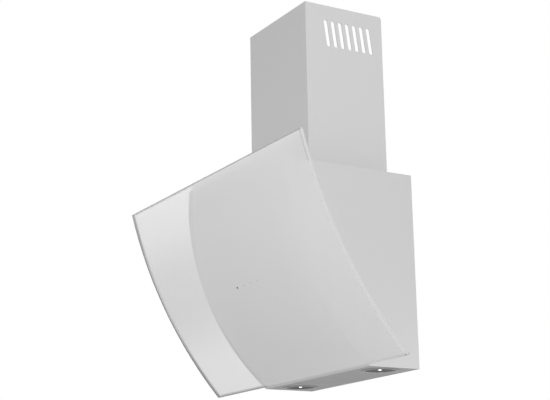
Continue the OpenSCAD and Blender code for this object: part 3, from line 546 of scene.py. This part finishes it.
def add_rim(shape, loops):
    """Borders and edge of the glass, each ring joined to the next, with own finishes at top and bottom."""
    for loop, next_loop, finish in zip(loops, loops[1:], RIM_FINISHES):
        ring = closed_ring(loop)
        next_ring = closed_ring(next_loop)
        for i in range(len(ring)):
            k = (i + 1) % len(ring)
            face = shape.faces.new([ring[k], ring[i], next_ring[i], next_ring[k]])
            if i == GLASS_ROWS:
                face.material_index = BOTTOM_FINISH[finish]
            elif i == len(ring) - 1:
                face.material_index = TOP_FINISH[finish]
            else:
                face.material_index = finish


def add_painted_shade_wall(shape):
    """A dark sheet just inside the polished edge, painted shade that is seen through the clear border of
    the glass as the edge's dark line.
    """
    rings = []
    for depth in (GLASS_ROUND * 0.5, GLASS_T - GLASS_ROUND * 0.5):
        rings.append(closed_ring(glass_loop(shape, GLASS_WALL_INSET, GLASS_WALL_INSET, depth)))
    front, back = rings
    for i in range(len(front)):
        k = (i + 1) % len(front)
        face = shape.faces.new([front[i], front[k], back[k], back[i]])
        face.material_index = PAINTED_SHADE_WALL


def glass_finishes():
    """The glass's materials, in the order of their places from 0 to 7."""
    return [
        MATERIALS["glass"],
        # Painted shade: the edge faces and the end borders at top and bottom take a darker grey than the
        # glass, drawing its dark edge line
        glass_material("glass_edge", EDGE_SHADE, 1.0),
        glass_material("glass_side_border", BORDER_SHADE, SIDE_BORDER_ALPHA),
        glass_material("glass_painted_shade_wall", PAINTED_SHADE_WALL_GREY, 1.0),
        glass_material("glass_back", BORDER_SHADE, BACK_ALPHA),
        glass_material("glass_end_border", EDGE_SHADE, END_BORDER_ALPHA),
        bottom_material("glass_bottom_edge", 1.0),
        bottom_material("glass_bottom_border", END_BORDER_ALPHA),
    ]


def make_glass():
    """The bowed pane, which takes the place of the CAD model's glass."""
    shape = bmesh.new()
    shape.verts.layers.float.new("coat")
    loops = [glass_loop(shape, side, end, depth) for side, end, depth in rim_rings()]
    add_front_face(shape, *loops[0])
    add_back_face(shape, *loops[-1])
    add_rim(shape, loops)
    bmesh.ops.recalc_face_normals(shape, faces=shape.faces)
    add_painted_shade_wall(shape)
    glass = link_object("glass_front", finished_mesh("glass_front", shape), glass_finishes())
    glass.visible_shadow = False
    glass.visible_diffuse = False
    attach(glass, "glass")
    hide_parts("glass_panel")


# Lamps of the hood

def turned_ring(shape, centre, radius, height, steps):
    """One ring of a turned shape. On the axis it is the same point for every step."""
    if radius < ON_AXIS:
        return [shape.verts.new(Vector((centre[0], centre[1], height)) * MM)] * steps
    ring = []
    for i in range(steps):
        angle = 2 * math.pi * i / steps
        x = centre[0] + radius * math.cos(angle)
        y = centre[1] + radius * math.sin(angle)
        ring.append(shape.verts.new(Vector((x, y, height)) * MM))
    return ring


def lathe(name, profile, centre, materials, bands=None, steps=LAMP_STEPS):
    """Turns a profile of (radius, height) in millimetres about an upright axis through centre."""
    shape = bmesh.new()
    rings = [turned_ring(shape, centre, radius, height, steps) for radius, height in profile]
    for row, (low, high) in enumerate(zip(rings, rings[1:])):
        for i in range(steps):
            k = (i + 1) % steps
            corners = []
            for corner in (low[i], low[k], high[k], high[i]):
                if corner not in corners:
                    corners.append(corner)
            if len(corners) > 2:
                face = shape.faces.new(corners)
                face.material_index = bands[row] if bands else 0
    bmesh.ops.recalc_face_normals(shape, faces=shape.faces)
    return link_object(name, finished_mesh(name, shape), materials)


def arc(centre, radius, first, last, steps):
    """Points of an arc in a profile, with the angles in degrees."""
    points = []
    for i in range(steps + 1):
        angle = math.radians(first + (last - first) * i / steps)
        points.append((centre[0] + radius * math.cos(angle), centre[1] + radius * math.sin(angle)))
    return points


def bezel_profile():
    """Down the outside of the sleeve, out under the panel, round the flange's edge and up inside."""
    profile = [(26.0, 8.9), (26.3, 8.7), (26.3, -0.1), (30.2, -0.1)]
    profile += arc((30.4, -0.5), 0.5, 75, -90, 6)
    profile += [(27.2, -1.0)]
    profile += arc((26.4, -0.4), 0.6, -70, -160, 5)
    profile += [(25.5, 0.6), (25.3, 1.9), (25.3, 8.7), (26.0, 8.9)]
    return profile


def lens_profile():
    """From the rim inwards over the ribs to the hole round the dome, and back over the top."""
    profile = [(24.9, 2.0), (24.9, 0.5), (24.2, 0.3)]
    for i in range(LENS_RIBS):
        radius = 23.6 - i * 2.0
        low = 0.22 + 0.05 * i
        high = 0.42 + 0.05 * i
        profile += [(radius, low), (radius - 1.0, high), (radius - 1.7, high)]
    profile += [(5.3, 0.9), (5.3, 2.0), (24.9, 2.0)]
    return profile


def dome_profile():
    """Lit dome from its tip outwards, then the plastic ring and base, with the material of each band."""
    lit = [(0.0, 0.1)]
    for degrees in range(15, 91, 15):
        angle = math.radians(degrees)
        lit.append((2.6 * math.sin(angle), 1.3 - 1.2 * math.cos(angle)))
    base = [(2.9, 1.4), (4.8, 1.2), (5.0, 1.5), (5.0, 2.4), (10.0, 2.4), (10.0, 3.6), (0.0, 3.6)]
    bands = [0] * (len(lit) - 1) + [1] * len(base)
    return lit + base, bands


def make_lamp(side):
    """Bezel, lens and lit dome of the lamp on the left (-1) or right (1)."""
    name = "right" if side > 0 else "left"
    centre = (side * LAMP_X, LAMP_Y)
    bezel = lathe("lamp_ring_" + name, bezel_profile(), centre, [MATERIALS["lamp_bezel"]])
    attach(bezel, "hood")
    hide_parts("lamp_bezel_" + name)
    lens = lathe("lamp_face_" + name, lens_profile(), centre, [MATERIALS["lamp_lens"]])
    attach(lens, "hood")
    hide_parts("lamp_lens_" + name)
    profile, bands = dome_profile()
    dome_finishes = [MATERIALS["lamp_led"], MATERIALS["white_plastic"]]
    dome = lathe("lamp_light_" + name, profile, centre, dome_finishes, bands, steps=DOME_STEPS)
    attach(dome, "hood")
    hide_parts("lamp_emitter_" + name)


# Filter

def filter_point(x, up, out):
    """A point of the filter's tilted frame, up along the filter and out towards the front."""
    y = -(FILTER_DEPTH + out)
    cos = math.cos(FILTER_TILT)
    sin = math.sin(FILTER_TILT)
    return Vector((x, FILTER_CENTRE[0] + y * cos - up * sin, FILTER_CENTRE[1] + y * sin + up * cos)) * MM


def add_strand(points, faces, start, end):
    """A flat four-sided strand between two (x, up, out) ends."""
    run = end[0] - start[0]
    rise = end[1] - start[1]
    across = Vector((-rise, run)) / math.hypot(run, rise) * STRAND_W / 2
    first = len(points)
    for x, up, out in (start, end):
        for side, lift in ((-1, -1), (1, -1), (1, 1), (-1, 1)):
            shifted = out + lift * STRAND_T / 2
            points.append(filter_point(x + side * across[0], up + side * across[1], shifted))
    for i in range(4):
        k = (i + 1) % 4
        faces.append((first + i, first + k, first + 4 + k, first + 4 + i))


def make_filter():
    """Layers of expanded metal: rows of diamonds whose strands twist out of the sheet."""
    points = []
    faces = []
    step_x = FILTER_W / FILTER_COLUMNS
    step_up = FILTER_H / FILTER_ROWS
    for layer, out in enumerate(FILTER_LAYERS):
        for row in range(FILTER_ROWS):
            lift = STRAND_LIFT if (row + layer) % 2 else -STRAND_LIFT
            up = -FILTER_H / 2 + row * step_up
            for column in range(FILTER_COLUMNS):
                x = -FILTER_W / 2 + column * step_x
                start = (x, up, out - lift)
                middle = (x + step_x / 2, up + step_up, out + lift)
                end = (x + step_x, up, out - lift)
                add_strand(points, faces, start, middle)
                add_strand(points, faces, middle, end)
    mesh = bpy.data.meshes.new("filter_layers")
    mesh.from_pydata(points, [], faces)
    mesh.update()
    layers = link_object("filter_layers", mesh, [MATERIALS["aluminium"]], smooth=False)
    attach(layers, "hood")
    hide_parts("filter_mesh")


# Finishes of the nodes

MATERIALS = {
    "body_steel": brushed("satin_steel", 0.53),
    "zinc_steel": galvanised("zinc_steel", 0.55),
    "bright_steel": brushed("bright_steel", 0.48, metallic=0.9, rough=0.25, grain=(900.0, 900.0, 900.0)),
    "glass": coated_glass("coated_glass"),
    "control_print": printed("control_print"),
    "dark_plastic": moulded("dark_plastic", 0.03),
    "circuit_board": moulded("circuit_board", 0.12, rough=0.35, tint=(0.3, 1.0, 0.5)),
    "rubber": moulded("rubber", 0.05, rough=0.75, specular=0.25),
    "aluminium": brushed("satin_aluminium", 0.62, metallic=0.85, rough=0.35, grain=(60.0, 60.0, 700.0)),
    "lamp_bezel": brushed("bezel_metal", 0.42, metallic=0.8, rough=0.3, grain=(300.0, 300.0, 300.0)),
    "lamp_lens": moulded("lamp_lens", 0.07, specular=0.2),
    "lamp_led": led_material("lamp_led"),
    "white_plastic": moulded("white_plastic", 0.7, rough=0.4),
}

# Pale hardware behind the glass: partly its real pale or plated look, partly painted light that evens out
# the shade it lies in behind the glass
PALE_RUBBER = moulded("pale_rubber", 0.4, rough=0.6, specular=0.25)
PALE_PLASTIC = moulded("pale_plastic", 0.36, rough=0.4)
PLATED = brushed("plated_steel", 0.6, metallic=0.6, grain=(300.0, 300.0, 300.0))

# Nodes whose finish differs from the others of their slot
OWN_FINISH = {
    # Painted light: the front plate is paler than the body's steel, so that where it shows through the
    # glass it looks as lit as the body's side
    "front_plate": brushed("plate_steel_painted_light", 0.62, metallic=0.4, rough=0.45),
    # Painted shade: the bottom panel is the body's satin steel made darker, as the underside lies in shade
    "bottom_panel": brushed("lower_panel_painted_shade", 0.375),
    # Painted light: the chimney cover is the body's satin steel made a little lighter
    "chimney_cover": brushed("chimney_steel_painted_light", 0.555),
    "glass_bumpers": PALE_RUBBER,
    "magnet_catch_left": PALE_PLASTIC,
    "magnet_catch_right": PALE_PLASTIC,
    "hinge_washers": PALE_PLASTIC,
    "hinge_leaf_left": PLATED,
    "hinge_leaf_right": PLATED,
    "glass_bracket_left": PLATED,
    "glass_bracket_right": PLATED,
    "strike_plate_left": PLATED,
    "strike_plate_right": PLATED,
}


def dress_nodes():
    """Gives each node of the CAD model its own finish, or else its slot's."""
    slots = {row["node"]: row["material_slot"] for row in frame["record"]["subparts"]}
    for name, node in NODES.items():
        node.data.materials.clear()
        node.data.materials.append(OWN_FINISH.get(name) or MATERIALS[slots[name]])


# Surroundings

def make_world():
    """White where it is seen, and dimmer as a source of light."""
    world = bpy.data.worlds.new("studio")
    bpy.context.scene.world = world
    world.use_nodes = True
    nodes = world.node_tree.nodes
    links = world.node_tree.links
    nodes.clear()
    output = nodes.new("ShaderNodeOutputWorld")
    mix = nodes.new("ShaderNodeMixShader")
    links.new(seen_directly(nodes, links), mix.inputs["Fac"])
    for place, strength in ((1, WORLD_DIFFUSE), (2, WORLD_SEEN)):
        background = nodes.new("ShaderNodeBackground")
        background.inputs["Color"].default_value = (1.0, 1.0, 1.0, 1.0)
        background.inputs["Strength"].default_value = strength
        links.new(background.outputs["Background"], mix.inputs[place])
    links.new(mix.outputs["Shader"], output.inputs["Surface"])


def floor_material():
    """Pale grey, in part white where it is seen, and all white far away."""
    material, nodes, links, shader = new_material("pale_floor")
    shader.inputs["Base Color"].default_value = grey(FLOOR_SHADE)
    shader.inputs["Roughness"].default_value = FLOOR_ROUGH
    glow = nodes.new("ShaderNodeEmission")
    mix = nodes.new("ShaderNodeMixShader")
    distance = nodes.new("ShaderNodeVectorMath")
    distance.operation = "LENGTH"
    links.new(object_points(nodes, links), distance.inputs[0])
    white = remap(nodes, links, distance.outputs["Value"], FLOOR_WHITE_SHARE, 1.0, *FLOOR_FADE)
    share = calculate(nodes, links, "MULTIPLY", white, seen_directly(nodes, links))
    links.new(share, mix.inputs["Fac"])
    links.new(shader.outputs["BSDF"], mix.inputs[1])
    links.new(glow.outputs["Emission"], mix.inputs[2])
    output = next(n for n in nodes if n.type == "OUTPUT_MATERIAL")
    links.new(mix.outputs["Shader"], output.inputs["Surface"])
    return material


def make_floor():
    """A wide floor well below the hood, as it hangs."""
    shape = bmesh.new()
    segments = FLOOR_SEGMENTS
    bmesh.ops.create_grid(shape, x_segments=segments, y_segments=segments, size=FLOOR_SIZE / 2)
    floor = link_object("floor", finished_mesh("floor", shape), [floor_material()], smooth=False)
    floor.location = (0.0, 0.0, CAD_BOX[0][2] - FLOOR_DROP)


def area_light(name, place, aim, size, power, mirrored=False):
    """A soft rectangular lamp, seen in glossy surfaces only if mirrored is set."""
    data = bpy.data.lights.new(name, "AREA")
    data.shape = "RECTANGLE"
    data.size = size[0]
    data.size_y = size[1]
    data.energy = power
    light = bpy.data.objects.new(name, data)
    light.visible_camera = False
    light.visible_glossy = mirrored
    direction = Vector(aim) - Vector(place)
    turn = direction.to_track_quat("-Z", "Y").to_matrix().to_4x4()
    light.matrix_world = Matrix.Translation(place) @ turn
    bpy.context.scene.collection.objects.link(light)


def make_lights():
    """Soft lamps of the studio: place, aim and size in metres, power in watts."""
    area_light("key", (3.2, -0.2, 1.2), (0.0, -0.1, 0.3), (2.4, 2.4), 84.0)
    area_light("left", (-3.0, 0.3, 1.0), (0.0, -0.1, 0.3), (2.0, 2.0), 16.0)
    area_light("fill", (0.9, -1.2, -0.3), (0.1, -0.1, 0.1), (1.4, 0.5), 7.0)
    area_light("low", (0.3, 0.05, -0.1), (0.165, -0.04, 0.05), (0.2, 0.2), 0.2)
    area_light("front", (0.2, -2.4, 0.9), (0.0, -0.2, 0.4), (1.5, 1.0), 5.6)
    area_light("band", (-1.7, -1.5, 0.5), (0.0, -0.25, 0.3), (2.2, 0.3), 3.0, mirrored=True)


make_camera()
make_world()
make_floor()
make_lights()
dress_nodes()
make_glass()
make_lamp(-1)
make_lamp(1)
make_filter()

bpy.context.scene.view_settings.view_transform = "Standard"
